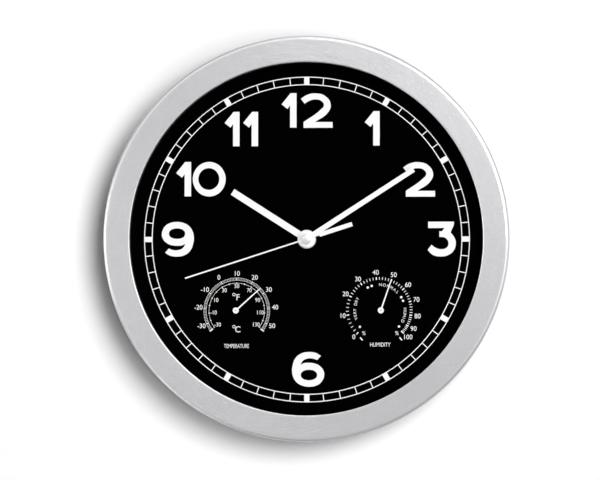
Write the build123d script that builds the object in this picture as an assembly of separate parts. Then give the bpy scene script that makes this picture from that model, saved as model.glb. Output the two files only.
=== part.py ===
from build123d import *
import os
from math import atan2, cos, hypot, pi, radians, sin, tan

# A round wall clock with a thermometer and a hygrometer in its dial.
# It is drawn lying on its back: z is the distance from the wall, y is up on the dial, and the hands turn
# about the z axis. Each piece is stood up against the wall as it is written. Sizes are in millimetres.

# Case, across the dial
bezel_radius = 150.0
bezel_width = 19.5            # outer line to the opening
bezel_wall = 1.5
bezel_edge_round = 2.8
bezel_lip_round = 1.1
bezel_crown = 0.8             # fall of the front land from its outer crest to its lip
bezel_clearance = 0.2
case_wall = 2.4
rim_inset = 0.4               # rear rim inside the bezel's outer line
glass_overlap = 3.0           # glass held under the bezel
glass_clearance = 0.3
skirt_wall = 2.4
ledge_width = 2.5             # ledge under the dial's edge
spacer_wall = 2.5
cover_clearance = 0.4

# Case, out from the wall
rim_height = 8.0
cover_setback = 2.0
cover_thickness = 2.4
movement_gap = 0.6
movement_depth = 17.7
cushion_thickness = 0.5
dial_thickness = 1.0
glass_standoff = 11.2
glass_thickness = 2.0
seal_thickness = 0.5
return_height = 3.3           # bezel's inner wall, seal to lip
web_thickness = 2.0
ledge_thickness = 2.0

# Rear cover
cover_screw_count = 6
cover_screw_offset = 30.0     # first screw, degrees round from three o'clock
boss_radius = 3.5
screw_core_radius = 1.2
screw_core_length = 11.0
screw_head_radius = 2.4
screw_head_height = 1.3
screw_clearance = 0.2
head_bevel = 0.35             # screw heads' rims and cross recesses, as shares of the heads' heights and radii
recess_depth = 0.55
recess_reach = 0.66
recess_width = 0.3
counterbore_depth = 1.0
window_gap = 1.0              # round the movement
window_round = 5.0
collar_wall = 1.6
collar_height = 4.0
rib_count = 12
rib_thickness = 1.6
rib_height = 5.0
rib_length = 34.0
rib_inset = 15.5              # ribs' outer ends in from the cover's edge
vent_radius = 17.0
vent_width = 2.6
vent_round = 1.1
vent_pitch = 6.0
vent_rows = 2                 # slots each side of the middle one

# Keyhole hanger
hanger_inset = 33.5           # hanger's middle in from the cover's edge
hanger_width = 40.0
hanger_length = 34.0
hanger_thickness = 1.5
hanger_round = 4.0
hanger_clearance = 0.3
hanger_ledge = 6.0            # plate resting on the cover, each side
keyhole_radius = 4.5
keyhole_slot_width = 4.6
keyhole_rise = 11.0           # entry centre to the hanging end's centre
hanger_screw_inset = 3.0      # from the plate's sides
hanger_head_radius = 2.0
hanger_head_height = 1.0
hanger_core_radius = 1.0
hanger_core_length = 5.0
hanger_boss_radius = 2.6

# Movement housing
movement_width = 76.0
movement_top = 28.0           # above the hands' axis
movement_bottom = 32.0        # below the hands' axis
movement_round = 4.0
movement_wall = 1.4
movement_floor = 1.2
back_case_height = 8.85
case_screw_inset = 3.4
case_boss_radius = 2.6
case_screw_core = 0.8
case_screw_head = 1.8
case_screw_head_height = 0.7
case_screw_length = 12.0
bush_radius = 3.95
bush_hole_clearance = 0.25
bush_proud = 0.3
cushion_radius = 8.0
dial_washer_radius = 7.0
dial_washer_thickness = 0.5
nut_across_flats = 11.0
nut_thickness = 2.0

# Battery bay
cell_radius = 7.25
cell_length = 49.5
cell_nub_radius = 2.75
cell_nub_length = 1.0
cell_edge_bevel = 0.6
cell_clearance = 0.25
bay_wall = 1.0
bay_inset = 1.2               # bay's outside to the housing's inside
contact_thickness = 0.4
contact_width = 9.0
contact_spring = 3.2          # depth of the bowed negative contact
contact_dimple = 0.8
contact_dimple_radius = 2.0
sign_length = 4.0             # raised plus and minus beside the bay
sign_width = 1.0
sign_height = 0.3

# Wheels and arbors
train_module = 0.35
pinion_leaves = 8
idler_teeth = 40
wheel_teeth = 48
motion_module = 0.45
cannon_leaves = 12
motion_teeth = 36
motion_leaves = 12
hour_teeth = 48
addendum = 0.7                # in modules
dedendum = 1.0                # in modules
tooth_fill = 0.64             # tooth thickness at the pitch circle, as a share of half the pitch
wheel_flank = 14.0            # degrees each side
wheel_thickness = 0.8
pinion_overhang = 0.15
plane_gap = 0.3               # first wheel to the front wall
plane_pitch = 1.5             # from one plane of wheels to the next
arbor_radius = 0.45
running_clearance = 0.05
pivot_depth = 0.7
pivot_end_gap = 0.1
second_arbor_radius = 0.6
minute_pipe_wall = 1.1
hour_pipe_wall = 0.7
third_bearing = 0.0           # directions from one arbor to the next, degrees from three o'clock
minutes_idler_bearing = 20.0
minutes_rotor_bearing = 40.0
seconds_idler_bearing = 200.0
seconds_rotor_bearing = 160.0
motion_bearing = 90.0

# Plates, motors and electronics
plate_thickness = 1.0
plate_gap = 0.3               # train plate to the lowest wheel
plate_left = 22.0
plate_right = 29.0
plate_top = 15.5
plate_clearance = 0.3         # plates to the battery bay
plate_round = 2.0
post_radius = 1.5
post_shoulder = 0.9
post_clearance = 0.3
post_inset = 2.7              # from the plates' edges
upper_post_at = 16.0          # inner posts, across from the hands' axis
lower_post_at = -9.9
board_height = 2.2            # board above the movement's floor
board_thickness = 1.0
rotor_radius = 2.7
rotor_length = 2.2
rotor_sink = 0.85             # magnet's rear end below the board's front face
rotor_boss_radius = 1.3
rotor_boss_height = 1.4
rotor_gap = 0.4               # magnet to stator
stator_thickness = 0.9
stator_leg = 7.0
stator_span = 19.0
stator_arm = 4.0
stator_reach = 10.5           # rotor axis to the end of the arms
core_width = 2.0
core_thickness = 0.9
coil_radius = 2.4
coil_flange_radius = 2.9
coil_flange = 0.8
coil_offset = 7.9             # rotor axis to the coil's axis
coil_end_gap = 0.4
antenna_radius = 3.5
antenna_end_gap = 6.6         # rod's ends to the housing's inside
antenna_height = 22.0         # above the hands' axis
antenna_lift = 6.8            # rod's axis above the movement's floor
antenna_coil_wall = 1.0
antenna_coil_length = 24.0
saddle_inset = 6.0            # saddles in from the rod's ends
saddle_thickness = 2.4
saddle_width = 6.8
saddle_clearance = 0.1
crystal_radius = 1.0
crystal_length = 6.0
crystal_inset = 2.0           # from the board's lower edge
parts_column = 4.8            # crystal and chip, across from the hands' axis
chip_size = 7.0
chip_height = 1.2
chip_inset = 7.0              # from the board's upper edge
chip_round = 1.4
button_radius = 2.3
button_clearance = 0.15
button_proud = 0.8
button_flange = 0.9
button_flange_height = 0.65
button_travel = 0.6
button_rest_gap = 0.05
button_height = -8.5          # on the movement's back, from the hands' axis
button_offset = 9.5
button_spacing = 9.0
dome_radius = 2.4

# Hands, as they stand in the rest pose, in degrees past twelve
hand_lift = 0.7               # bush to the hour hand
hand_thickness = 0.5
hand_step = 1.3               # hour hand to the minute hand
second_step = 1.0             # minute hand to the second hand
hand_fit = 0.02
hour_angle = 302.6
hour_length = 65.2
hour_root_width = 4.9
hour_tip_width = 5.0
hour_boss_radius = 6.7
minute_angle = 57.1
minute_length = 94.5
minute_root_width = 3.8
minute_tip_width = 3.65
minute_boss_radius = 6.2
collar_radius = 3.4
collar_drop = 0.5
second_angle = 252.1
second_length = 94.5
second_width = 1.05
second_boss_radius = 4.3
second_thickness = 0.35
tail_start = 10.0
tail_length = 35.6
tail_width = 3.2
second_tube_radius = 1.3
cap_radius = 3.9
cap_base = 0.4
cap_dome = 1.3

# Thermometer and hygrometer
instrument_spacing = 107.5    # between the two needles
instrument_shift = 1.15       # the pair's middle, right of the hands' axis
instrument_drop = 52.8        # below the hands' axis
cup_radius = 20.0
cup_wall = 1.2
cup_depth = 9.0
cup_vent_count = 6
cup_vent_radius = 2.6
cup_vent_circle = 13.0
needle_arbor_radius = 0.6
arbor_hole_clearance = 0.7    # in the dial
collet_radius = 1.4
collet_clearance = 0.2
strip_thickness = 0.4
strip_width = 4.5
strip_pitch = 1.4
strip_half_turns = 8
strip_lift = 2.0              # strip above the cup's floor
anchor_size = 2.0
needle_lift = 1.0             # dial to the needle's blade
needle_thickness = 0.3
needle_length = 24.5
needle_root_width = 1.1
needle_tip_width = 0.7
needle_boss_radius = 2.25
needle_boss_height = 0.9
thermometer_angle = 47.8
hygrometer_angle = 18.9

# Levels, out from the wall
cover_face = cover_setback + cover_thickness
movement_back = cover_face + movement_gap
movement_inside = movement_back + movement_floor
movement_split = movement_back + back_case_height
movement_front = movement_back + movement_depth
front_inside = movement_front - movement_floor
dial_back = movement_front + cushion_thickness
dial_front = dial_back + dial_thickness
glass_back = dial_front + glass_standoff
glass_front = glass_back + glass_thickness
return_end = glass_front + seal_thickness
lip_level = return_end + return_height
crest_level = lip_level + bezel_crown
bush_top = dial_front + dial_washer_thickness + nut_thickness + bush_proud
hour_level = bush_top + hand_lift
hour_top = hour_level + hand_thickness
minute_level = hour_top + hand_step
minute_top = minute_level + hand_thickness
second_level = minute_top + second_step
second_top = second_level + second_thickness
plate_top_level = front_inside - plane_gap - 5 * plane_pitch - wheel_thickness - plate_gap
plate_level = plate_top_level - plate_thickness
board_level = movement_inside + board_height
board_front = board_level + board_thickness
coil_level = board_front + stator_thickness + core_thickness / 2

# Radii
view_radius = bezel_radius - bezel_width
glass_radius = view_radius + glass_overlap
skirt_inside = glass_radius + glass_clearance
skirt_outside = skirt_inside + skirt_wall
case_outside = bezel_radius - bezel_wall - bezel_clearance
case_inside = case_outside - case_wall
screw_circle = (skirt_outside + case_inside) / 2
cover_radius = case_inside - cover_clearance
rib_outer_radius = cover_radius - rib_inset
hanger_height = cover_radius - hanger_inset
dial_hole_radius = bush_radius + bush_hole_clearance
minute_bore = second_arbor_radius + running_clearance
minute_pipe_radius = minute_bore + minute_pipe_wall
hour_bore = minute_pipe_radius + running_clearance
hour_pipe_radius = hour_bore + hour_pipe_wall
bush_bore = hour_pipe_radius + running_clearance

standing = (Align.CENTER, Align.CENTER, Align.MIN)


# Drawing helpers

def rod(radius, low, high, x=0.0, y=0.0):
    return Pos(x, y, low) * Cylinder(radius, high - low, align=standing)


def tube(inner, outer, low, high, x=0.0, y=0.0):
    return rod(outer, low, high, x, y) - rod(inner, low, high, x, y)


def block(left, right, bottom, top, low, high):
    return Pos(left, bottom, low) * Box(right - left, top - bottom, high - low, align=(Align.MIN,) * 3)


def rounded_face(corners):
    # a closed outline from corners (x, y) or (x, y, rounding)
    spans = []
    for before, corner, after in zip(corners[-1:] + corners[:-1], corners, corners[1:] + corners[:1]):
        point = Vector(*corner[:2])
        back = (Vector(*before[:2]) - point).normalized()
        ahead = (Vector(*after[:2]) - point).normalized()
        if len(corner) == 2:
            spans.append((point, None, point))
            continue
        half_angle = radians(back.get_angle(ahead)) / 2
        reach = corner[2] / tan(half_angle)
        inward = (back + ahead).normalized()
        middle = point + inward * (corner[2] / sin(half_angle) - corner[2])
        spans.append((point + back * reach, middle, point + ahead * reach))
    edges = []
    for span, following in zip(spans, spans[1:] + spans[:1]):
        if span[1] is not None:
            edges.append(ThreePointArc(*span))
        if (following[0] - span[2]).length > 1e-6:
            edges.append(Line(span[2], following[0]))
    return make_face(edges)


def slab(corners, low, high):
    return extrude(Pos(0, 0, low) * rounded_face(corners), high - low, dir=(0, 0, 1))


def rounded_block(left, right, bottom, top, rounding, low, high):
    corners = [(left, bottom), (right, bottom), (right, top), (left, top)]
    return slab([(x, y, rounding) for x, y in corners], low, high)


def turned(corners):
    # corners are (radius, level) or (radius, level, rounding)
    return revolve(Plane.XZ * rounded_face(corners), axis=Axis.Z)


def screw(core_radius, head_radius, head_height, seat, end, place):
    # the head faces the wall, with a cross recess in it
    low = seat - head_height
    floor = low + recess_depth * head_height
    arm = recess_reach * head_radius
    half = recess_width * head_radius / 2
    head = rod(head_radius, low, seat)
    head = chamfer(head.edges().group_by(Axis.Z)[0], head_bevel * head_height)
    body = head + rod(core_radius, seat, end)
    body -= block(-arm, arm, -half, half, low, floor) + block(-half, half, -arm, arm, low, floor)
    return Pos(*place) * body


def polar(distance, bearing, start=(0.0, 0.0)):
    return (start[0] + distance * cos(radians(bearing)), start[1] + distance * sin(radians(bearing)))


def past_twelve(angle):
    return Rot(0, 0, -angle)


# Gears: thin straight-sided teeth, radial leaves on the pinions

def gear(teeth, module, tooth_bearing, low, high, leaf=False):
    pitch_radius = teeth * module / 2
    root = pitch_radius - dedendum * module
    tip = pitch_radius + addendum * module
    half_tooth = tooth_fill * pi * module / 4
    flank = 0.0 if leaf else tan(radians(wheel_flank))
    half_root = half_tooth / pitch_radius if leaf else (half_tooth + flank * dedendum * module) / root
    half_tip = (half_tooth - flank * addendum * module) / tip
    points = []
    for number in range(teeth):
        middle = radians(tooth_bearing) + 2 * pi * number / teeth
        sides = ((root, -half_root), (tip, -half_tip), (tip, half_tip), (root, half_root))
        points += [(radius * cos(middle + turn), radius * sin(middle + turn)) for radius, turn in sides]
    return slab(points, low, high)


def wheel(teeth, module, mate_bearing, plane):
    # a gap faces the mating pinion
    low, high = plane_levels(plane)
    return gear(teeth, module, mate_bearing + 180 / teeth, low, high)


def pinion(leaves, module, mate_bearing, plane):
    # a leaf faces the mating wheel
    low, high = plane_levels(plane)
    return gear(leaves, module, mate_bearing, low - pinion_overhang, high + pinion_overhang, leaf=True)


def plane_levels(plane):
    high = front_inside - plane_gap - plane * plane_pitch
    return high - wheel_thickness, high


def apart(module, teeth, other_teeth):
    return module * (teeth + other_teeth) / 2


hour_plane, cannon_plane, minute_plane, third_plane, second_plane, seconds_idler_plane = range(6)

hour_module = motion_module * (cannon_leaves + motion_teeth) / (motion_leaves + hour_teeth)
wheel_apart = apart(train_module, pinion_leaves, wheel_teeth)
idler_apart = apart(train_module, pinion_leaves, idler_teeth)
motion_at = polar(apart(motion_module, cannon_leaves, motion_teeth), motion_bearing)
third_at = polar(wheel_apart, third_bearing)
minutes_idler_at = polar(wheel_apart, minutes_idler_bearing, third_at)
minutes_rotor_at = polar(idler_apart, minutes_rotor_bearing, minutes_idler_at)
seconds_idler_at = polar(wheel_apart, seconds_idler_bearing)
seconds_rotor_at = polar(idler_apart, seconds_rotor_bearing, seconds_idler_at)

arbor_end = front_inside + pivot_depth - pivot_end_gap
rotor_pivot = movement_inside + rotor_boss_height - pivot_depth + pivot_end_gap

nodes = {}


# Case

bezel_inside = bezel_radius - bezel_wall
inner_land = lip_level - bezel_wall
nodes["bezel"] = turned([
    (bezel_radius, rim_height),
    (bezel_radius, crest_level, bezel_edge_round),
    (view_radius, lip_level, bezel_lip_round),
    (view_radius, return_end),
    (view_radius + bezel_wall, return_end),
    (view_radius + bezel_wall, inner_land),
    (bezel_inside, crest_level - bezel_wall),
    (bezel_inside, rim_height),
])
nodes["glass_seal"] = tube(view_radius, glass_radius, glass_front, return_end)
nodes["glass"] = rod(glass_radius, glass_back, glass_front)
nodes["spacer_ring"] = tube(glass_radius - spacer_wall, glass_radius, dial_front, glass_back)

instruments = {
    "thermometer": (instrument_shift - instrument_spacing / 2, -instrument_drop),
    "hygrometer": (instrument_shift + instrument_spacing / 2, -instrument_drop),
}
dial = rod(glass_radius, dial_back, dial_front) - rod(dial_hole_radius, dial_back, dial_front)
for place in instruments.values():
    dial -= rod(needle_arbor_radius + arbor_hole_clearance, dial_back, dial_front, *place)
nodes["dial_plate"] = dial

case_body = turned([
    (case_inside, 0),
    (bezel_radius - rim_inset, 0),
    (bezel_radius - rim_inset, rim_height),
    (case_outside, rim_height),
    (case_outside, return_end),
    (skirt_inside, return_end),
    (skirt_inside, dial_back),
    (skirt_inside - ledge_width, dial_back),
    (skirt_inside - ledge_width, dial_back - ledge_thickness),
    (skirt_outside, dial_back - ledge_thickness),
    (skirt_outside, return_end - web_thickness),
    (case_inside, return_end - web_thickness),
])
cover_screw_places = []
for number in range(cover_screw_count):
    cover_screw_places.append(polar(screw_circle, cover_screw_offset + 360 * number / cover_screw_count))
for place in cover_screw_places:
    case_body += rod(boss_radius, cover_face, return_end - web_thickness, *place)
for place in cover_screw_places:
    case_body -= rod(screw_core_radius, cover_face, cover_face + screw_core_length, *place)
nodes["case_body"] = case_body


# Rear cover, with the movement's window, ribs inside, vents behind the instruments and the hanger's seat

window = dict(
    left=-movement_width / 2 - window_gap,
    right=movement_width / 2 + window_gap,
    bottom=-movement_bottom - window_gap,
    top=movement_top + window_gap,
)
collar = {side: edge + (-collar_wall if side in ("left", "bottom") else collar_wall)
          for side, edge in window.items()}
rib_top = cover_face + rib_height

rear_cover = rod(cover_radius, cover_setback, cover_face)
rear_cover += rounded_block(**collar, rounding=window_round + collar_wall, low=cover_face,
                            high=cover_face + collar_height)
rear_cover -= rounded_block(**window, rounding=window_round, low=cover_setback,
                            high=cover_face + collar_height)
rib = block(rib_outer_radius - rib_length, rib_outer_radius, -rib_thickness / 2, rib_thickness / 2,
            cover_face, rib_top)
for number in range(rib_count):
    rear_cover += Rot(0, 0, (number + 0.5) * 360 / rib_count) * rib

seat_level = cover_setback + hanger_thickness
hanger_screw_reach = hanger_width / 2 - hanger_screw_inset
hanger_screw_places = [(side * hanger_screw_reach, hanger_height) for side in (-1, 1)]
hanger_boss_top = seat_level + hanger_core_length
for place in hanger_screw_places:
    rear_cover += rod(hanger_boss_radius, seat_level, hanger_boss_top, *place)
seat_half_width = hanger_width / 2 + hanger_clearance
seat_half_length = hanger_length / 2 + hanger_clearance
rear_cover -= rounded_block(-seat_half_width, seat_half_width, hanger_height - seat_half_length,
                            hanger_height + seat_half_length, hanger_round, cover_setback, seat_level)
hole_half_width = hanger_width / 2 - hanger_ledge
hole_half_length = hanger_length / 2 - hanger_ledge / 2
rear_cover -= rounded_block(-hole_half_width, hole_half_width, hanger_height - hole_half_length,
                            hanger_height + hole_half_length, hanger_round, cover_setback, hanger_boss_top)
for place in hanger_screw_places:
    rear_cover -= rod(hanger_core_radius, cover_setback, hanger_boss_top, *place)
for place in cover_screw_places:
    rear_cover -= rod(screw_core_radius + screw_clearance, cover_setback, cover_face, *place)
    rear_cover -= rod(screw_head_radius + screw_clearance, cover_setback,
                      cover_setback + counterbore_depth, *place)
for x, y in instruments.values():
    for row in range(-vent_rows, vent_rows + 1):
        offset = row * vent_pitch
        half_length = (vent_radius ** 2 - offset ** 2) ** 0.5
        rear_cover -= rounded_block(x - half_length, x + half_length, y + offset - vent_width / 2,
                                    y + offset + vent_width / 2, vent_round, cover_setback, cover_face)
nodes["rear_cover"] = rear_cover

cover_screw_seat = cover_setback + counterbore_depth
cover_screw_end = cover_face + screw_core_length
nodes["rear_cover_screws"] = Compound([
    screw(screw_core_radius, screw_head_radius, screw_head_height, cover_screw_seat, cover_screw_end, place)
    for place in cover_screw_places
])

keyhole_entry = hanger_height - keyhole_rise / 2
keyhole_end = hanger_height + keyhole_rise / 2
hanger = rounded_block(-hanger_width / 2, hanger_width / 2, hanger_height - hanger_length / 2,
                       hanger_height + hanger_length / 2, hanger_round, cover_setback, seat_level)
hanger -= rod(keyhole_radius, cover_setback, seat_level, 0, keyhole_entry)
hanger -= block(-keyhole_slot_width / 2, keyhole_slot_width / 2, keyhole_entry, keyhole_end,
                cover_setback, seat_level)
hanger -= rod(keyhole_slot_width / 2, cover_setback, seat_level, 0, keyhole_end)
for place in hanger_screw_places:
    hanger -= rod(hanger_core_radius + screw_clearance, cover_setback, seat_level, *place)
nodes["hanger_plate"] = hanger

nodes["hanger_screws"] = Compound([
    screw(hanger_core_radius, hanger_head_radius, hanger_head_height, cover_setback, hanger_boss_top, place)
    for place in hanger_screw_places
])


# Movement housing: front case with the bush, back case with the battery bay

half_width = movement_width / 2
inside_half_width = half_width - movement_wall
inside_top = movement_top - movement_wall
inside_bottom = movement_bottom - movement_wall
inside_round = movement_round - movement_wall
case_screw_places = [
    (side * (half_width - case_screw_inset), level)
    for side in (-1, 1)
    for level in (movement_top - case_screw_inset, case_screw_inset - movement_bottom)
]
pivot_places = [motion_at, third_at, minutes_idler_at, minutes_rotor_at, seconds_idler_at, seconds_rotor_at]
pivot_hole = arbor_radius + running_clearance
case_screw_end = movement_back + case_screw_length

front_case = rounded_block(-half_width, half_width, -movement_bottom, movement_top, movement_round,
                           movement_split, movement_front)
front_case -= rounded_block(-inside_half_width, inside_half_width, -inside_bottom, inside_top, inside_round,
                            movement_split, front_inside)
front_case += rod(bush_radius, movement_front, bush_top)
front_case -= rod(bush_bore, front_inside, bush_top)
for place in case_screw_places:
    front_case += rod(case_boss_radius, movement_split, front_inside, *place)
for place in case_screw_places:
    front_case -= rod(case_screw_core, movement_split, case_screw_end, *place)
for place in pivot_places:
    front_case -= rod(pivot_hole, front_inside, front_inside + pivot_depth, *place)
nodes["movement_front_case"] = front_case

contact_room = contact_thickness + contact_dimple
spring_room = contact_thickness + contact_spring
bay_length = spring_room + cell_length + cell_nub_length + contact_room
bay_left = -bay_length / 2
bay_right = bay_length / 2
bay_low = bay_inset + bay_wall - inside_bottom
bay_high = bay_low + 2 * (cell_radius + cell_clearance)
cell_height = (bay_low + bay_high) / 2
bay_end = front_inside - bay_wall - running_clearance
cell_level = bay_end - cell_clearance - cell_radius
plate_low = bay_high + bay_wall + plate_clearance

post_places = [
    (post_inset - plate_left, plate_top - post_inset),
    (upper_post_at, plate_top - post_inset),
    (lower_post_at, plate_low + post_inset),
    (plate_right - post_inset, plate_low + post_inset),
]
button_places = {
    "set_button": (button_offset - button_spacing / 2, button_height),
    "signal_button": (button_offset + button_spacing / 2, button_height),
}
rotor_places = [minutes_rotor_at, seconds_rotor_at]
antenna_level = movement_inside + antenna_lift
antenna_length = 2 * (inside_half_width - antenna_end_gap)

back_case = rounded_block(-half_width, half_width, -movement_bottom, movement_top, movement_round,
                          movement_back, movement_split)
back_case -= rounded_block(-inside_half_width, inside_half_width, -inside_bottom, inside_top, inside_round,
                           movement_inside, movement_split)
back_case += block(bay_left - bay_wall, bay_right + bay_wall, bay_low - bay_wall, bay_high + bay_wall,
                   movement_back, bay_end + bay_wall)
for place in case_screw_places:
    back_case += rod(case_boss_radius, movement_back, movement_split, *place)
for place in post_places:
    back_case += rod(post_radius + post_shoulder, movement_inside, board_level, *place)
    back_case += rod(post_radius, board_level, plate_level, *place)
for place in rotor_places:
    back_case += rod(rotor_boss_radius, movement_inside, movement_inside + rotor_boss_height, *place)
for side in (-1, 1):
    middle = side * (antenna_length / 2 - saddle_inset)
    back_case += block(middle - saddle_thickness / 2, middle + saddle_thickness / 2,
                       antenna_height - saddle_width / 2, antenna_height + saddle_width / 2,
                       movement_inside, antenna_level)
back_case -= block(bay_left, bay_right, bay_low, bay_high, movement_back, bay_end)
back_case -= (Pos(0, antenna_height, antenna_level) * Rot(0, 90, 0)
              * Cylinder(antenna_radius + saddle_clearance, antenna_length))
for place in case_screw_places:
    back_case -= rod(case_screw_core + screw_clearance, movement_back, movement_split, *place)
for place in rotor_places:
    boss_top = movement_inside + rotor_boss_height
    back_case -= rod(pivot_hole, boss_top - pivot_depth, boss_top, *place)
for place in button_places.values():
    back_case -= rod(button_radius + button_clearance, movement_back, movement_inside, *place)
sign_at = (bay_right + half_width) / 2
sign_strokes = [
    (-sign_at, sign_length, sign_width),
    (sign_at, sign_length, sign_width),
    (sign_at, sign_width, sign_length),
]
for x, across, up in sign_strokes:
    back_case += block(x - across / 2, x + across / 2, cell_height - up / 2, cell_height + up / 2,
                       movement_back - sign_height, movement_back)
nodes["movement_back_case"] = back_case

nodes["movement_screws"] = Compound([
    screw(case_screw_core, case_screw_head, case_screw_head_height, movement_back, case_screw_end, place)
    for place in case_screw_places
])

nodes["cushion_washer"] = tube(dial_hole_radius, cushion_radius, movement_front, dial_back)
washer_top = dial_front + dial_washer_thickness
nodes["dial_washer"] = tube(dial_hole_radius, dial_washer_radius, dial_front, washer_top)
nut_outline = Pos(0, 0, washer_top) * RegularPolygon(nut_across_flats / 2, 6, major_radius=False)
nut = extrude(nut_outline, nut_thickness, dir=(0, 0, 1))
nodes["centre_nut"] = nut - rod(bush_radius + running_clearance, washer_top, washer_top + nut_thickness)


# Battery and its contacts

cell_start = bay_left + spring_room
cell_end = cell_start + cell_length
cell_axis = Pos(cell_start, cell_height, cell_level) * Rot(0, 90, 0)
cell_can = Cylinder(cell_radius, cell_length, align=standing)
cell_can = chamfer(cell_can.edges().filter_by(GeomType.CIRCLE), cell_edge_bevel)
cell_nub = Pos(0, 0, cell_length) * Cylinder(cell_nub_radius, cell_nub_length, align=standing)
nodes["battery"] = cell_axis * (cell_can + cell_nub)

contact_low = cell_height - contact_width / 2
contact_high = cell_height + contact_width / 2
contact_start = cell_level - contact_width / 2
positive = block(bay_right - contact_thickness, bay_right, contact_low, contact_high, contact_start, bay_end)
dimple_axis = Pos(cell_end + cell_nub_length, cell_height, cell_level) * Rot(0, 90, 0)
dimple = Cone(contact_dimple_radius / 2, contact_dimple_radius, contact_dimple, align=standing)
positive += dimple_axis * dimple
nodes["positive_contact"] = positive

bow_start = bay_left + contact_thickness
bow_outside = ThreePointArc((bow_start, contact_low), (cell_start, cell_height), (bow_start, contact_high))
bow_inside = ThreePointArc(
    (bow_start, contact_high - 2 * contact_thickness),
    (cell_start - contact_thickness, cell_height),
    (bow_start, contact_low + 2 * contact_thickness),
)
bow_face = make_face([
    bow_outside,
    Line((bow_start, contact_high), (bow_start, contact_high - 2 * contact_thickness)),
    bow_inside,
    Line((bow_start, contact_low + 2 * contact_thickness), (bow_start, contact_low)),
])
bow_width = contact_width / 2
negative = block(bay_left, bow_start, contact_low, contact_high, contact_start, bay_end)
negative += extrude(Pos(0, 0, cell_level - bow_width / 2) * bow_face, bow_width, dir=(0, 0, 1))
nodes["negative_contact"] = negative


# Plates and electronics

train_plate = rounded_block(-plate_left, plate_right, plate_low, plate_top, plate_round,
                            plate_level, plate_top_level)
train_plate -= rod(second_arbor_radius + running_clearance, plate_level, plate_top_level)
for place in pivot_places:
    clear_hole = rotor_radius if place in rotor_places else pivot_hole
    train_plate -= rod(clear_hole, plate_level, plate_top_level, *place)
nodes["train_plate"] = train_plate

board = rounded_block(-plate_left, plate_right, plate_low, plate_top, plate_round, board_level, board_front)
for place in post_places:
    board -= rod(post_radius + post_clearance, board_level, board_front, *place)
for place in rotor_places:
    board -= rod(rotor_radius + rotor_gap, board_level, board_front, *place)
nodes["circuit_board"] = board

crystal_axis = Pos(parts_column, plate_low + crystal_inset, board_front + crystal_radius)
nodes["quartz_crystal"] = crystal_axis * Rot(0, 90, 0) * Cylinder(crystal_radius, crystal_length)
chip_at = (parts_column, plate_top - chip_inset)
nodes["control_chip"] = rounded_block(
    chip_at[0] - chip_size / 2, chip_at[0] + chip_size / 2, chip_at[1] - chip_size / 2,
    chip_at[1] + chip_size / 2, chip_round, board_front, board_front + chip_height)

flange_start = movement_inside + button_rest_gap
flange_end = flange_start + button_flange_height
dome_level = flange_end + button_travel + button_rest_gap
domes = []
for name, place in button_places.items():
    stem = rod(button_radius, movement_back - button_proud, flange_end, *place)
    nodes[name] = stem + rod(button_radius + button_flange, flange_start, flange_end, *place)
    domes.append(rod(dome_radius, dome_level, board_level, *place))
nodes["button_domes"] = Compound(domes)

antenna_axis = Pos(0, antenna_height, antenna_level) * Rot(0, 90, 0)
nodes["antenna_rod"] = antenna_axis * Cylinder(antenna_radius, antenna_length)
winding = Cylinder(antenna_radius + antenna_coil_wall, antenna_coil_length)
nodes["antenna_coil"] = antenna_axis * (winding - Cylinder(antenna_radius, antenna_coil_length))


# Stepping motors: a stator plate round the rotor, closed by the coil's core

def stator(place, side):
    x, y = place
    span = stator_span / 2
    leg = side * stator_leg / 2
    end = side * stator_reach
    corners = [
        (x - leg, y - span), (x + end, y - span), (x + end, y - span + stator_arm),
        (x + leg, y - span + stator_arm), (x + leg, y + span - stator_arm),
        (x + end, y + span - stator_arm), (x + end, y + span), (x - leg, y + span),
    ]
    plate = slab(corners, board_front, board_front + stator_thickness)
    return plate - rod(rotor_radius + rotor_gap, board_front, board_front + stator_thickness, x, y)


def motor_coil(place, side):
    x = place[0] + side * coil_offset
    y = place[1]
    span = stator_span / 2
    winding_span = span - stator_arm - coil_end_gap
    low = board_front + stator_thickness
    core = block(x - core_width / 2, x + core_width / 2, y - span, y + span, low, low + core_thickness)
    along = Pos(x, y, coil_level) * Rot(90, 0, 0)
    coil = core + along * Cylinder(coil_radius, 2 * winding_span)
    flange = Cylinder(coil_flange_radius, coil_flange)
    for end in (-1, 1):
        coil += along * Pos(0, 0, end * (winding_span - coil_flange / 2)) * flange
    return coil


def rotor(place, mate_bearing, plane):
    magnet_low = board_front - rotor_sink
    body = rod(arbor_radius, rotor_pivot, arbor_end)
    body += rod(rotor_radius, magnet_low, magnet_low + rotor_length)
    body += pinion(pinion_leaves, train_module, mate_bearing, plane)
    return Pos(*place) * body


nodes["seconds_stator"] = stator(seconds_rotor_at, -1)
nodes["seconds_coil"] = motor_coil(seconds_rotor_at, -1)
nodes["seconds_rotor"] = rotor(seconds_rotor_at, seconds_rotor_bearing + 180, seconds_idler_plane)
nodes["minutes_stator"] = stator(minutes_rotor_at, 1)
nodes["minutes_coil"] = motor_coil(minutes_rotor_at, 1)
nodes["minutes_rotor"] = rotor(minutes_rotor_at, minutes_rotor_bearing + 180, second_plane)


# Wheels

def train_wheel(place, teeth, driver_bearing, wheel_plane, driven_bearing, pinion_plane):
    body = rod(arbor_radius, plate_level, arbor_end)
    body += wheel(teeth, train_module, driver_bearing, wheel_plane)
    body += pinion(pinion_leaves, train_module, driven_bearing, pinion_plane)
    return Pos(*place) * body


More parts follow.
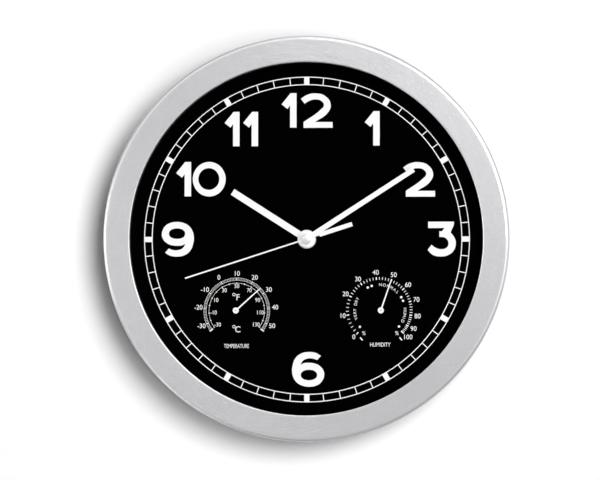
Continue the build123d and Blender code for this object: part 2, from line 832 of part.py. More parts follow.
nodes["seconds_idler"] = train_wheel(seconds_idler_at, idler_teeth, seconds_rotor_bearing,
                                     seconds_idler_plane, seconds_idler_bearing + 180, second_plane)
nodes["minutes_idler"] = train_wheel(minutes_idler_at, idler_teeth, minutes_rotor_bearing,
                                     second_plane, minutes_idler_bearing + 180, third_plane)
nodes["third_wheel"] = train_wheel(third_at, wheel_teeth, minutes_idler_bearing,
                                   third_plane, third_bearing + 180, minute_plane)

second_wheel = rod(second_arbor_radius, plate_level, second_top)
nodes["second_wheel"] = second_wheel + wheel(wheel_teeth, train_module, seconds_idler_bearing, second_plane)

minute_wheel = wheel(wheel_teeth, train_module, third_bearing, minute_plane)
minute_wheel += pinion(cannon_leaves, motion_module, motion_bearing, cannon_plane)
minute_wheel += rod(minute_pipe_radius, plane_levels(minute_plane)[0], minute_top)
nodes["minute_wheel"] = minute_wheel - rod(minute_bore, plane_levels(minute_plane)[0], minute_top)

motion_wheel = rod(arbor_radius, plate_level, arbor_end)
motion_wheel += wheel(motion_teeth, motion_module, motion_bearing + 180, cannon_plane)
motion_wheel += pinion(motion_leaves, hour_module, motion_bearing + 180, hour_plane)
nodes["motion_wheel"] = Pos(*motion_at) * motion_wheel

hour_wheel = wheel(hour_teeth, hour_module, motion_bearing, hour_plane)
hour_wheel += rod(hour_pipe_radius, plane_levels(hour_plane)[0], hour_top)
nodes["hour_wheel"] = hour_wheel - rod(hour_bore, plane_levels(hour_plane)[0], hour_top)


# Hands, drawn pointing at twelve and turned to the rest pose

def hand(length, root_width, tip_width, boss_radius, bore, level):
    root, tip = root_width / 2, tip_width / 2
    blade = slab([(-root, 0), (root, 0), (tip, length), (-tip, length)], level, level + hand_thickness)
    body = blade + rod(boss_radius, level, level + hand_thickness)
    body += rod(collar_radius, level - collar_drop, level)
    return body - rod(bore + hand_fit, level - collar_drop, level + hand_thickness)


nodes["hour_hand"] = past_twelve(hour_angle) * hand(
    hour_length, hour_root_width, hour_tip_width, hour_boss_radius, hour_pipe_radius, hour_level)
nodes["minute_hand"] = past_twelve(minute_angle) * hand(
    minute_length, minute_root_width, minute_tip_width, minute_boss_radius, minute_pipe_radius, minute_level)

second_hand = block(-second_width / 2, second_width / 2, -tail_start, second_length, second_level, second_top)
second_hand += block(-tail_width / 2, tail_width / 2, -tail_length, -tail_start, second_level, second_top)
second_hand += rod(second_boss_radius, second_level, second_top)
second_hand += rod(second_tube_radius, second_level - collar_drop, second_level)
second_hand -= rod(second_arbor_radius + hand_fit, second_level - collar_drop, second_top)
nodes["second_hand"] = past_twelve(second_angle) * second_hand

cap_shoulder = second_top + cap_base
cap_crown = cap_shoulder + cap_dome
cap_sphere = (cap_radius ** 2 + cap_dome ** 2) / (2 * cap_dome)
cap_half_angle = atan2(cap_radius, cap_sphere - cap_dome) / 2
cap_middle = (cap_sphere * sin(cap_half_angle), cap_crown - cap_sphere * (1 - cos(cap_half_angle)))
cap_face = make_face([
    Line((0, second_top), (cap_radius, second_top)),
    Line((cap_radius, second_top), (cap_radius, cap_shoulder)),
    ThreePointArc((cap_radius, cap_shoulder), cap_middle, (0, cap_crown)),
    Line((0, cap_crown), (0, second_top)),
])
nodes["hand_cap"] = revolve(Plane.XZ * cap_face, axis=Axis.Z)


# Instruments: a cup behind the dial, a spiral strip anchored at its outer end, an arbor and a needle

def spiral_arcs(start_radius):
    # half circles about two centres, half a pitch apart, each larger than the last by half a pitch
    arcs = []
    for number in range(strip_half_turns):
        centre = 0.0 if number % 2 == 0 else -strip_pitch / 2
        side = 1 if number % 2 == 0 else -1
        arcs.append((centre, start_radius + number * strip_pitch / 2, side))
    return arcs


def spiral_edges(arcs, offset):
    edges = []
    for centre, radius, side in arcs:
        reach = radius + offset
        start, end = (centre - side * reach, 0), (centre + side * reach, 0)
        edges.append(ThreePointArc(start, (centre, side * reach), end))
    return edges


def spiral_gap(arcs):
    # least distance between one turn's middle line and the next turn's, less the strip's thickness
    points = []
    for centre, radius, side in arcs:
        angles = [radians(180 - 10 * step) if side > 0 else radians(360 - 10 * step) for step in range(18)]
        points.append([(centre + radius * cos(a), radius * sin(a)) for a in angles])
    least = min(
        hypot(x - u, y - v)
        for inner, outer in zip(points, points[2:])
        for x, y in inner
        for u, v in outer
    )
    return least - strip_thickness


cup_floor = dial_back - cup_depth
cup_inside = cup_floor + cup_wall
strip_low = cup_inside + strip_lift
strip_high = strip_low + strip_width
needle_level = dial_front + needle_lift
needle_top = needle_level + needle_boss_height
strip = spiral_arcs(collet_radius + collet_clearance + strip_thickness / 2)
last_centre, last_radius, last_side = strip[-1]
strip_end = last_centre + last_side * last_radius
print(f"least gap between turns of the spirals: {spiral_gap(strip):.2f} mm")


def instrument_cup():
    cup = rod(cup_radius, cup_floor, dial_back) - rod(cup_radius - cup_wall, cup_inside, dial_back)
    anchor_side = (-anchor_size, 0) if last_side > 0 else (0, anchor_size)
    cup += block(strip_end - anchor_size / 2, strip_end + anchor_size / 2, *anchor_side,
                 cup_inside, strip_high)
    cup -= rod(needle_arbor_radius + running_clearance, cup_floor, cup_inside)
    for number in range(cup_vent_count):
        vent = polar(cup_vent_circle, (number + 0.5) * 360 / cup_vent_count)
        cup -= rod(cup_vent_radius, cup_floor, cup_inside, *vent)
    return cup


def instrument_coil():
    half = strip_thickness / 2
    outer = spiral_edges(strip, half)
    inner = spiral_edges(strip, -half)
    ends = [Line(outer[0] @ 0, inner[0] @ 0), Line(outer[-1] @ 1, inner[-1] @ 1)]
    face = make_face(outer + inner + ends)
    return extrude(Pos(0, 0, strip_low) * face, strip_width, dir=(0, 0, 1))


def instrument_arbor():
    return rod(needle_arbor_radius, cup_floor, needle_top) + rod(collet_radius, strip_low, strip_high)


def instrument_needle():
    root, tip = needle_root_width / 2, needle_tip_width / 2
    corners = [(-root, 0), (root, 0), (tip, needle_length), (-tip, needle_length)]
    needle = slab(corners, needle_level, needle_level + needle_thickness)
    needle += rod(needle_boss_radius, needle_level, needle_top)
    return needle - rod(needle_arbor_radius + hand_fit, needle_level, needle_top)


needle_angles = {"thermometer": thermometer_angle, "hygrometer": hygrometer_angle}
for name, place in instruments.items():
    nodes[f"{name}_cup"] = Pos(*place) * instrument_cup()
    nodes[f"{name}_coil"] = Pos(*place) * instrument_coil()
    nodes[f"{name}_arbor"] = Pos(*place) * instrument_arbor()
    nodes[f"{name}_needle"] = Pos(*place) * past_twelve(needle_angles[name]) * instrument_needle()


# Stand the clock against the wall: its front faces -Y and its top is +Z

os.makedirs("parts", exist_ok=True)
for name, shape in nodes.items():
    export_step(Rot(90, 0, 0) * shape, f"parts/{name}.step")
print(f"{len(nodes)} nodes, {2 * bezel_radius:.1f} mm across, {crest_level:.1f} mm deep")
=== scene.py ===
import math
import bmesh
import bpy
from mathutils import Matrix, Vector


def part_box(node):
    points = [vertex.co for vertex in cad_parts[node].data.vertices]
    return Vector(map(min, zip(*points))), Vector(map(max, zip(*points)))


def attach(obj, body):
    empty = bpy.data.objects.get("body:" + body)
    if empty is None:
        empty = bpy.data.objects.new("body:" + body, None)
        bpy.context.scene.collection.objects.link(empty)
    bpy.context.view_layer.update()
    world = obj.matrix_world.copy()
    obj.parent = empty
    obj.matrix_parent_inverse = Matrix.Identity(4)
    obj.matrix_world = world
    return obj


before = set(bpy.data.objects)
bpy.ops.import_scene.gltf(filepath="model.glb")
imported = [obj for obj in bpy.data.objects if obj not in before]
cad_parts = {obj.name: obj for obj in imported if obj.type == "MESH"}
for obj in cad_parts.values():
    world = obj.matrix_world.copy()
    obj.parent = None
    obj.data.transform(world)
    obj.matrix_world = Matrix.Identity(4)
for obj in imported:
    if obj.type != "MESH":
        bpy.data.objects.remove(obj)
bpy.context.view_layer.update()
print("frame in:", len(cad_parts), "nodes")

mm = 0.001
faceUp = Matrix.Rotation(math.radians(90), 4, "X")  # drawn flat in x and y, stood up facing the front


class Wire:
    # one socket of a node tree, with sums on it
    def __init__(self, tree, socket=None):
        self.tree = tree
        self.socket = socket

    def node(self, kind, settings=None, inputs=None, out=0):
        made = self.tree.nodes.new(kind)
        for key, value in (settings or {}).items():
            setattr(made, key, value)
        for key, value in (inputs or {}).items():
            if isinstance(value, Wire):
                self.tree.links.new(value.socket, made.inputs[key])
            else:
                made.inputs[key].default_value = value
        return Wire(self.tree, made.outputs[out])

    def sums(self, operation, first, second=0.0):
        return self.node("ShaderNodeMath", {"operation": operation}, {0: first, 1: second})

    def __add__(self, other):
        return self.sums("ADD", self, other)

    def __radd__(self, other):
        return self.sums("ADD", other, self)

    def __sub__(self, other):
        return self.sums("SUBTRACT", self, other)

    def __rsub__(self, other):
        return self.sums("SUBTRACT", other, self)

    def __mul__(self, other):
        return self.sums("MULTIPLY", self, other)

    def __rmul__(self, other):
        return self.sums("MULTIPLY", other, self)

    def __truediv__(self, other):
        return self.sums("DIVIDE", self, other)

    def __rtruediv__(self, other):
        return self.sums("DIVIDE", other, self)

    def __pow__(self, other):
        return self.sums("POWER", self, other)

    def __rpow__(self, other):
        return self.sums("POWER", other, self)

    def above(self, level):
        return self.sums("GREATER_THAN", self, level)

    def held(self):
        return self.sums("MINIMUM", self.sums("MAXIMUM", self, 0.0), 1.0)  # kept between 0 and 1

    def span(self, low, high):
        return self * (high - low) + low  # 0 to 1 becomes low to high

    def wave(self):
        return self.sums("SINE", self)

    def vector(self, operation, inputs=None, out="Vector"):
        wired = {0: self, **(inputs or {})}
        return self.node("ShaderNodeVectorMath", {"operation": operation}, wired, out)

    def place(self):
        return self.node("ShaderNodeTexCoord", out="Object")  # metres in the clock's own frame

    def part(self, axis):
        return self.node("ShaderNodeSeparateXYZ", {}, {0: self}, axis)

    def joined(self, x, y, z):
        return self.node("ShaderNodeCombineXYZ", {}, {"X": x, "Y": y, "Z": z})

    def noise(self, scale, detail=2.0, rough=0.5):
        settings = {"noise_dimensions": "3D"}
        inputs = {"Vector": self, "Scale": scale, "Detail": detail, "Roughness": rough}
        return self.node("ShaderNodeTexNoise", settings, inputs, "Fac")

    def tint(self, low, high):
        return self.node("ShaderNodeMix", {"data_type": "RGBA"}, {0: self, 6: low, 7: high}, 2)

    def bump(self, strength, distance):
        inputs = {"Strength": strength, "Distance": distance, "Height": self}
        return self.node("ShaderNodeBump", {}, inputs, "Normal")


def rgb(red, green, blue):
    return (red, green, blue, 1.0)


def grey(level):
    return rgb(level, level, level)


def newFinish(name, fixed, changing):
    made = bpy.data.materials.new(name)
    made.use_nodes = True
    tree = made.node_tree
    shader = tree.nodes["Principled BSDF"]
    for socket, value in fixed.items():
        shader.inputs[socket].default_value = value
    for socket, wire in changing(Wire(tree)).items():
        tree.links.new(wire.socket, shader.inputs[socket])
    return made


# Finishes, one for each slot of the record; rough is from least to most, relief is strength and depth

bezelMetal = {
    "dark": rgb(0.70, 0.70, 0.72), "pale": rgb(0.88, 0.88, 0.90),
    "rough": (0.22, 0.38), "relief": (0.6, 0.00025),
    "fine": 2600.0, "along": 90.0, "cloud": 45.0, "cloudShare": 0.3,  # brush lines: fine across, long
    "side": rgb(0.48, 0.48, 0.50), "shadeFrom": 0.1482, "shadeFade": 0.0006,  # painted shade: the metal turns darker grey past this radius, giving a thin dark line at the outer edge and a dimmer side
}


def brushedAluminium(s):
    look = bezelMetal
    spot = s.place()
    flat = s.joined(spot.part("X"), 0.0, spot.part("Z"))
    radius = flat.vector("LENGTH", out="Value")
    across = s.joined(radius * look["fine"], spot.part("Y") * look["fine"], 0.0)
    around = flat.vector("NORMALIZE").vector("SCALE", {"Scale": look["along"]})
    grain = across.vector("ADD", {1: around}).noise(scale=1.0, detail=3.0, rough=0.65)
    tone = grain * (1.0 - look["cloudShare"]) + spot.noise(look["cloud"]) * look["cloudShare"]
    # painted shade: darker metal at the outer rim stands in for the shadow line along the ring's edge
    paintedRimShade = ((radius - look["shadeFrom"]) / look["shadeFade"]).held()
    return {
        "Base Color": paintedRimShade.tint(tone.tint(look["dark"], look["pale"]), look["side"]),
        "Roughness": grain.span(*look["rough"]),
        "Normal": grain.bump(*look["relief"]),
    }


windowLook = {"slantPower": 6.0, "slantGain": 1.1, "faceOn": 0.0003, "smear": 30.0, "rough": (0.01, 0.04)}


def clearGlass(s):
    # nearly invisible face on, with gloss at a slant
    look = windowLook
    slant = s.node("ShaderNodeLayerWeight", {}, {"Blend": 0.5}, "Facing")
    smear = s.place().noise(look["smear"], detail=3.0)
    return {
        "Alpha": slant ** look["slantPower"] * look["slantGain"] + look["faceOn"],
        "Roughness": smear.span(*look["rough"]),
    }


rubberLook = {
    "dark": grey(0.010), "pale": grey(0.022), "pores": 3000.0, "rough": (0.7, 0.9), "relief": (0.3, 0.0001),
}


def mattRubber(s):
    look = rubberLook
    pores = s.place().noise(look["pores"], detail=3.0)
    return {
        "Base Color": pores.tint(look["dark"], look["pale"]),
        "Roughness": pores.span(*look["rough"]),
        "Normal": pores.bump(*look["relief"]),
    }


plastics = {
    "case": {"dark": grey(0.012), "pale": grey(0.026), "rough": 0.46, "grain": 1400.0, "depth": 0.00012},
    "movement": {"dark": grey(0.016), "pale": grey(0.034), "rough": 0.38, "grain": 2200.0, "depth": 0.00012},
    "wheel": {"dark": grey(0.55), "pale": grey(0.72), "rough": 0.35, "grain": 1800.0, "depth": 0.00004},
    "cup": {"dark": grey(0.40), "pale": grey(0.52), "rough": 0.42, "grain": 1500.0, "depth": 0.00012},
    "button": {"dark": grey(0.20), "pale": grey(0.28), "rough": 0.40, "grain": 1800.0, "depth": 0.00012},
}
moulding = {"patch": 28.0, "patchShare": 0.4, "patchRough": 0.12, "strength": 0.35}  # alike in all


def sparkPlastic(look):
    # moulded plastic with a fine eroded grain
    def changing(s):
        spot = s.place()
        grain = spot.noise(look["grain"], detail=3.0, rough=0.6)
        patch = spot.noise(moulding["patch"])
        tone = grain * (1.0 - moulding["patchShare"]) + patch * moulding["patchShare"]
        return {
            "Base Color": tone.tint(look["dark"], look["pale"]),
            "Roughness": patch.span(look["rough"], look["rough"] + moulding["patchRough"]),
            "Normal": grain.bump(moulding["strength"], look["depth"]),
        }
    return changing


dialLook = {
    "dark": grey(0.0003), "pale": grey(0.0008), "dust": 2500.0, "patch": 60.0, "rough": (0.55, 0.70),
    "relief": (0.10, 0.00004),
}


def dialLacquer(s):
    look = dialLook
    spot = s.place()
    dust = spot.noise(look["dust"])
    return {
        "Base Color": dust.tint(look["dark"], look["pale"]),
        "Roughness": spot.noise(look["patch"]).span(*look["rough"]),
        "Normal": dust.bump(*look["relief"]),
    }


handLook = {
    "dark": grey(0.90), "pale": grey(0.95), "tone": 120.0, "peel": 900.0, "rough": (0.35, 0.50),
    "relief": (0.12, 0.00003),
}


def whiteLacquer(s):
    look = handLook
    spot = s.place()
    peel = spot.noise(look["peel"])
    return {
        "Base Color": spot.noise(look["tone"]).tint(look["dark"], look["pale"]),
        "Roughness": peel.span(*look["rough"]),
        "Normal": peel.bump(*look["relief"]),
    }


inkLook = {
    "dark": grey(0.90), "pale": grey(0.96), "tone": 150.0, "screen": 4000.0, "rough": (0.55, 0.70),
    "relief": (0.10, 0.00002),
}


def whiteInk(s):
    look = inkLook
    spot = s.place()
    screen = spot.noise(look["screen"])
    return {
        "Base Color": spot.noise(look["tone"]).tint(look["dark"], look["pale"]),
        "Roughness": screen.span(*look["rough"]),
        "Normal": screen.bump(*look["relief"]),
    }


metals = {
    "silver": {"dark": grey(0.82), "pale": grey(0.92), "rough": (0.32, 0.52)},
    "brass": {"dark": rgb(0.56, 0.40, 0.15), "pale": rgb(0.74, 0.56, 0.24), "rough": (0.22, 0.42)},
    "bimetal": {"dark": rgb(0.50, 0.44, 0.33), "pale": rgb(0.68, 0.62, 0.50), "rough": (0.25, 0.45)},
}
satin = {"grain": 700.0, "relief": (0.12, 0.00005)}  # alike in all


def satinMetal(look):
    def changing(s):
        grain = s.place().noise(satin["grain"], detail=3.0, rough=0.6)
        return {
            "Base Color": grain.tint(look["dark"], look["pale"]),
            "Roughness": grain.span(*look["rough"]),
            "Normal": grain.bump(*satin["relief"]),
        }
    return changing


zincLook = {
    "dark": rgb(0.46, 0.47, 0.49), "pale": rgb(0.66, 0.67, 0.69), "flake": 900.0, "cloud": 160.0,
    "rough": (0.26, 0.44), "relief": (0.15, 0.00005),
}


def zincPlate(s):
    look = zincLook
    spot = s.place()
    inputs = {"Vector": spot, "Scale": look["flake"]}
    flake = s.node("ShaderNodeTexVoronoi", {"feature": "F1"}, inputs, "Color").part("X")
    cloud = spot.noise(look["cloud"], detail=3.0)
    return {
        "Base Color": (flake * 0.5 + cloud * 0.5).tint(look["dark"], look["pale"]),
        "Roughness": flake.span(*look["rough"]),
        "Normal": cloud.bump(*look["relief"]),
    }


boardLook = {
    "mask": rgb(0.006, 0.060, 0.022), "trace": rgb(0.020, 0.130, 0.050), "pitch": 4200.0, "crest": 0.72,
    "islands": 220.0, "sheen": 500.0, "rough": (0.25, 0.40), "relief": (0.3, 0.00004),
}


def boardMask(s):
    # traces under green lacquer: a grid of lines, broken up into islands
    look = boardLook
    spot = s.place()
    lines = [(spot.part(axis) * look["pitch"]).wave().above(look["crest"]) for axis in ("X", "Z")]
    trace = s.sums("MAXIMUM", *lines) * spot.noise(look["islands"]).above(0.5)
    return {
        "Base Color": trace.tint(look["mask"], look["trace"]),
        "Roughness": spot.noise(look["sheen"]).span(*look["rough"]),
        "Normal": trace.bump(*look["relief"]),
    }


windingLook = {
    "dark": rgb(0.28, 0.09, 0.03), "pale": rgb(0.72, 0.30, 0.12), "pitch": 26000.0, "rough": (0.25, 0.45),
    "relief": (0.5, 0.00008),
}


def copperWire(s):
    look = windingLook
    spot = s.place()
    turns = (spot.part("X") * look["pitch"] + spot.part("Z") * look["pitch"]).wave() * 0.5 + 0.5
    return {
        "Base Color": turns.tint(look["dark"], look["pale"]),
        "Roughness": turns.span(*look["rough"]),
        "Normal": turns.bump(*look["relief"]),
    }


ferriteLook = {
    "dark": grey(0.020), "pale": grey(0.075), "speck": 2200.0, "rough": (0.5, 0.8), "relief": (0.25, 0.0001),
}


def ferriteGrain(s):
    look = ferriteLook
    speck = s.place().noise(look["speck"], detail=4.0, rough=0.7)
    return {
        "Base Color": speck.tint(look["dark"], look["pale"]),
        "Roughness": speck.span(*look["rough"]),
        "Normal": speck.bump(*look["relief"]),
    }


cellLook = {
    "band": 0.012, "body": rgb(0.030, 0.034, 0.040), "top": rgb(0.52, 0.53, 0.55), "metal": (0.3, 0.8),
    "scuff": 350.0, "rough": (0.22, 0.47), "relief": (0.08, 0.00005),
}


def cellJacket(s):
    # printed sleeve: dark body, pale shoulder at the positive end
    look = cellLook
    spot = s.place()
    shoulder = spot.part("X").above(look["band"])
    scuff = spot.noise(look["scuff"], detail=3.0)
    return {
        "Base Color": shoulder.tint(look["body"], look["top"]),
        "Metallic": shoulder.span(*look["metal"]),
        "Roughness": scuff.span(*look["rough"]),
        "Normal": scuff.bump(*look["relief"]),
    }


finishes = {
    "bezel_aluminium": newFinish("bezelAluminium", {"Metallic": 1.0}, brushedAluminium),
    "window_glass": newFinish("windowGlass", {"Base Color": grey(0.0), "IOR": 1.5}, clearGlass),
    "seal_rubber": newFinish("sealRubber", {}, mattRubber),
    "case_plastic": newFinish("casePlastic", {"IOR": 1.48}, sparkPlastic(plastics["case"])),
    "dial_black": newFinish("dialBlack", {"Specular IOR Level": 0.0}, dialLacquer),
    "hand_white": newFinish("handWhite", {"Specular IOR Level": 0.3}, whiteLacquer),
    "cap_silver": newFinish("capSilver", {"Metallic": 0.7}, satinMetal(metals["silver"])),
    "zinc_steel": newFinish("zincSteel", {"Metallic": 1.0}, zincPlate),
    "movement_plastic": newFinish("movementPlastic", {}, sparkPlastic(plastics["movement"])),
    "wheel_plastic": newFinish("wheelPlastic", {}, sparkPlastic(plastics["wheel"])),
    "board_green": newFinish("boardGreen", {}, boardMask),
    "copper_winding": newFinish("copperWinding", {"Metallic": 0.9}, copperWire),
    "ferrite": newFinish("ferriteGrey", {}, ferriteGrain),
    "cell_jacket": newFinish("cellJacket", {}, cellJacket),
    "nut_brass": newFinish("nutBrass", {"Metallic": 1.0}, satinMetal(metals["brass"])),
    "bimetal": newFinish("bimetalStrip", {"Metallic": 1.0}, satinMetal(metals["bimetal"])),
    "cup_plastic": newFinish("cupPlastic", {}, sparkPlastic(plastics["cup"])),
    "button_plastic": newFinish("buttonPlastic", {}, sparkPlastic(plastics["button"])),
}
inkFinish = newFinish("whiteInk", {"Specular IOR Level": 0.2}, whiteInk)

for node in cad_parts.values():
    for slot in node.material_slots:
        slot.material = finishes[slot.material.name.split(".")[0]]
print("finishes on:", len(finishes))


# Print on the dial, drawn in millimetres from the hands' axis

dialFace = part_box("dial_plate")[0].y
ink = {
    "height": 0.06, "sunk": 0.01,  # how far the ink stands off the dial, and how far it is let in
    "arcStep": 2, "leastSteps": 6,  # degrees between the points of an arc, and the fewest steps
}


def addObject(name, data):
    made = bpy.data.objects.new(name, data)
    bpy.context.scene.collection.objects.link(made)
    return made


def inkPiece(name, bm):
    # the flat drawing stands up on the dial's face
    bmesh.ops.scale(bm, vec=(mm, mm, mm), verts=bm.verts)
    bmesh.ops.transform(bm, matrix=Matrix.Translation((0, dialFace, 0)) @ faceUp, verts=bm.verts)
    bmesh.ops.recalc_face_normals(bm, faces=bm.faces)
    mesh = bpy.data.meshes.new(name)
    bm.to_mesh(mesh)
    bm.free()
    mesh.materials.append(inkFinish)
    made = addObject(name, mesh)
    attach(made, "case")


def strip(bm, inner, outer, closed=False):
    # a flat band of ink between two rows of points
    count = len(inner)
    rows = []
    for row in (inner, outer):
        for level in (-ink["sunk"], ink["height"]):
            rows.append([bm.verts.new((x, y, level)) for x, y in row])
    lowIn, topIn, lowOut, topOut = rows
    for i in range(count if closed else count - 1):
        j = (i + 1) % count
        bm.faces.new((topIn[i], topIn[j], topOut[j], topOut[i]))
        bm.faces.new((lowIn[i], lowOut[i], lowOut[j], lowIn[j]))
        bm.faces.new((topIn[i], lowIn[i], lowIn[j], topIn[j]))
        bm.faces.new((topOut[i], topOut[j], lowOut[j], lowOut[i]))
    if not closed:
        for i in (0, count - 1):
            bm.faces.new((lowIn[i], topIn[i], topOut[i], lowOut[i]))


def polar(radius, angle, centre=(0.0, 0.0)):
    # angle is clockwise from twelve, in degrees
    turn = math.radians(angle)
    return (centre[0] + radius * math.sin(turn), centre[1] + radius * math.cos(turn))


def arcBand(bm, radius, width, start, end, centre=(0.0, 0.0)):
    closed = end - start >= 360
    steps = max(ink["leastSteps"], int((end - start) / ink["arcStep"]))
    angles = [start + (end - start) * i / steps for i in range(steps if closed else steps + 1)]
    inner = [polar(radius - width / 2, a, centre) for a in angles]
    outer = [polar(radius + width / 2, a, centre) for a in angles]
    strip(bm, inner, outer, closed)


def tick(bm, angle, low, high, width, centre=(0.0, 0.0)):
    side = Vector(polar(width / 2, angle + 90))
    ends = [Vector(polar(r, angle, centre)) for r in (low, high)]
    strip(bm, [p - side for p in ends], [p + side for p in ends])


def stampCurve(bm, curve, matrix):
    # a filled flat curve becomes part of the ink
    curve.extrude = (ink["height"] + ink["sunk"]) / 2
    holder = addObject("stamp", curve)
    bpy.context.view_layer.update()
    mesh = bpy.data.meshes.new_from_object(holder.evaluated_get(bpy.context.evaluated_depsgraph_get()))
    lift = Matrix.Translation((0, 0, (ink["height"] - ink["sunk"]) / 2))
    mesh.transform(matrix @ lift)
    bm.from_mesh(mesh)
    bpy.data.objects.remove(holder)
    bpy.data.meshes.remove(mesh)


def writeWord(bm, text, size, place, turn=0.0, widen=1.0):
    curve = bpy.data.curves.new("word", "FONT")
    curve.body = text
    curve.size = size
    curve.align_x = "CENTER"
    curve.align_y = "CENTER"
    spin = Matrix.Rotation(math.radians(-turn), 4, "Z")
    stretch = Matrix.Diagonal((widen, 1.0, 1.0, 1.0))
    stampCurve(bm, curve, Matrix.Translation((*place, 0)) @ spin @ stretch)
    bpy.data.curves.remove(curve)


# Hour numerals: corners are plain points, round stretches pass through points marked True

oneShape = [[(0, 0), (0, 26.0), (-4.7, 26.0), (-11.6, 17.5), (-6.9, 13.8), (-5.2, 16.1), (-5.2, 0)]]
twoShape = [[
    (0, 21.9), (5.2, 25.0, True), (11.5, 26.0, True), (19.0, 23.6, True), (22.7, 17.1, True),
    (20.4, 11.2, True), (11.5, 4.7), (24.1, 4.7), (24.1, 0), (2.1, 0), (2.1, 4.6),
    (14.7, 13.7, True), (17.2, 17.0, True), (15.4, 20.0, True), (11.2, 21.1, True), (7.4, 20.4, True),
    (3.1, 17.9),
]]
threeShape = [[
    (0.5, 26.2), (20.1, 26.2), (19.8, 23.2), (17.5, 18.1), (20.4, 14.1, True), (21.3, 9.9, True),
    (19.7, 4.5, True), (15.8, 1.2, True), (10.1, 0, True), (4.1, 1.2, True), (0, 5.0), (3.1, 9.2),
    (6.6, 6.7, True), (10.5, 5.8, True), (14.2, 6.9, True), (15.5, 9.9, True), (14.2, 13.1, True),
    (11.4, 14.4, True), (8.8, 14.4), (8.8, 19.1), (10.8, 19.1), (12.3, 21.1), (0.5, 21.1),
]]
nineShape = [[
    (5.3, 6.4), (2.3, 3.0), (6.3, 0.7, True), (11.4, 0, True), (16.8, 0.9, True), (21.4, 4.3, True),
    (23.9, 10.5, True), (24.2, 14.5, True), (23.2, 19.2, True), (20.3, 23.2, True), (16.5, 25.3, True),
    (11.4, 26.1, True), (6.3, 25.3, True), (2.3, 22.7, True), (0, 16.8, True), (0.9, 13.2, True),
    (3.4, 10.3, True), (7.2, 8.5, True), (11.4, 8.0, True), (15.0, 8.2, True), (17.3, 9.1),
    (16.1, 7.1, True), (14.1, 5.7, True), (11.4, 5.1, True), (8.3, 5.3, True),
], ("round", 11.5, 17.2, 5.85, 3.7)]
zeroShape = [("round", 12.5, 13.05, 12.45, 13.05), ("round", 12.2, 13.2, 7.6, 7.9)]
numerals = {  # the shapes of each, and where they stand
    "numeral12": [(oneShape, -7.4, 82.8), (twoShape, -4.7, 82.6)],
    "numeral1": [(oneShape, 54.3, 69.3)],
    "numeral2": [(twoShape, 71.2, 31.3)],
    "numeral3": [(threeShape, 89.3, -13.1)],
    "numeral6": [(nineShape, 13.1, -83.4)],
    "numeral9": [(nineShape, -107.9, -12.9)],
    "numeral10": [(oneShape, -85.8, 31.8), (zeroShape, -85.0, 31.7)],
    "numeral11": [(oneShape, -49.8, 69.0), (oneShape, -36.0, 69.0)],
}
numeralStyle = {"trim": 0.20, "steps": 10, "upsideDown": ("numeral6",)}  # trim is taken off all round


def addLoop(curve, loop):
    # a loop of points, or a round given by its middle and half sizes
    line = curve.splines.new("BEZIER")
    line.use_cyclic_u = True
    if loop[0] == "round":
        _, x, y, wide, high = loop
        loop = [(x + wide, y, True), (x, y + high, True), (x - wide, y, True), (x, y - high, True)]
    line.bezier_points.add(len(loop) - 1)
    for point, spot in zip(line.bezier_points, loop):
        smooth = len(spot) == 3
        point.co = (spot[0], spot[1], 0.0)
        point.handle_left_type = "AUTO" if smooth else "VECTOR"
        point.handle_right_type = "AUTO" if smooth else "VECTOR"


def drawNumeral(name, shapes):
    bm = bmesh.new()
    turned = Matrix.Rotation(math.radians(180 if name in numeralStyle["upsideDown"] else 0), 4, "Z")
    for shape, x, y in shapes:
        curve = bpy.data.curves.new(name, "CURVE")
        curve.dimensions = "2D"
        curve.fill_mode = "BOTH"
        curve.resolution_u = numeralStyle["steps"]
        curve.offset = -numeralStyle["trim"]
        for loop in shape:
            addLoop(curve, loop)
        stampCurve(bm, curve, Matrix.Translation((x, y, 0)) @ turned)
        bpy.data.curves.remove(curve)
    inkPiece(name, bm)


for name, shapes in numerals.items():
    drawNumeral(name, shapes)
print("numerals on:", len(numerals))


# Minute track: two fine circles, sixty cells, a solid block at each hour

track = {"outer": 120.55, "inner": 114.9, "line": 0.64, "tick": 0.64, "block": 3.9, "overlap": 0.02}


def minuteTrack(look):
    circles = bmesh.new()
    for radius in (look["inner"], look["outer"]):
        arcBand(circles, radius, look["line"], 0, 360)
    inkPiece("trackCircles", circles)

    cells = bmesh.new()
    blocks = bmesh.new()
    low = look["inner"] + look["line"] / 2 - look["overlap"]
    high = look["outer"] - look["line"] / 2 + look["overlap"]
    for minute in range(60):
        if minute % 5:
            tick(cells, minute * 6, low, high, look["tick"])
        else:
            tick(blocks, minute * 6, low, high, look["block"])
    inkPiece("trackMinutes", cells)
    inkPiece("trackHours", blocks)


minuteTrack(track)
print("minute track on")


# Instrument scales, printed close to the needles' arbors

def middleOf(node, shift):
    low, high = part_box(node)
    return ((low.x + high.x) / 2 / mm + shift[0], (low.z + high.z) / 2 / mm + shift[1])


def beside(centre, across, up):
    return (centre[0] + across, centre[1] + up)


def writeLabel(bm, value, label, radius, angle, centre):
    writeWord(bm, str(value), label["size"], polar(radius, angle, centre), widen=label["widen"])


def wordBelow(name, word, centre):
    bm = bmesh.new()
    writeWord(bm, word["text"], word["size"], beside(centre, *word["at"]), widen=word["widen"])
    inkPiece(name, bm)


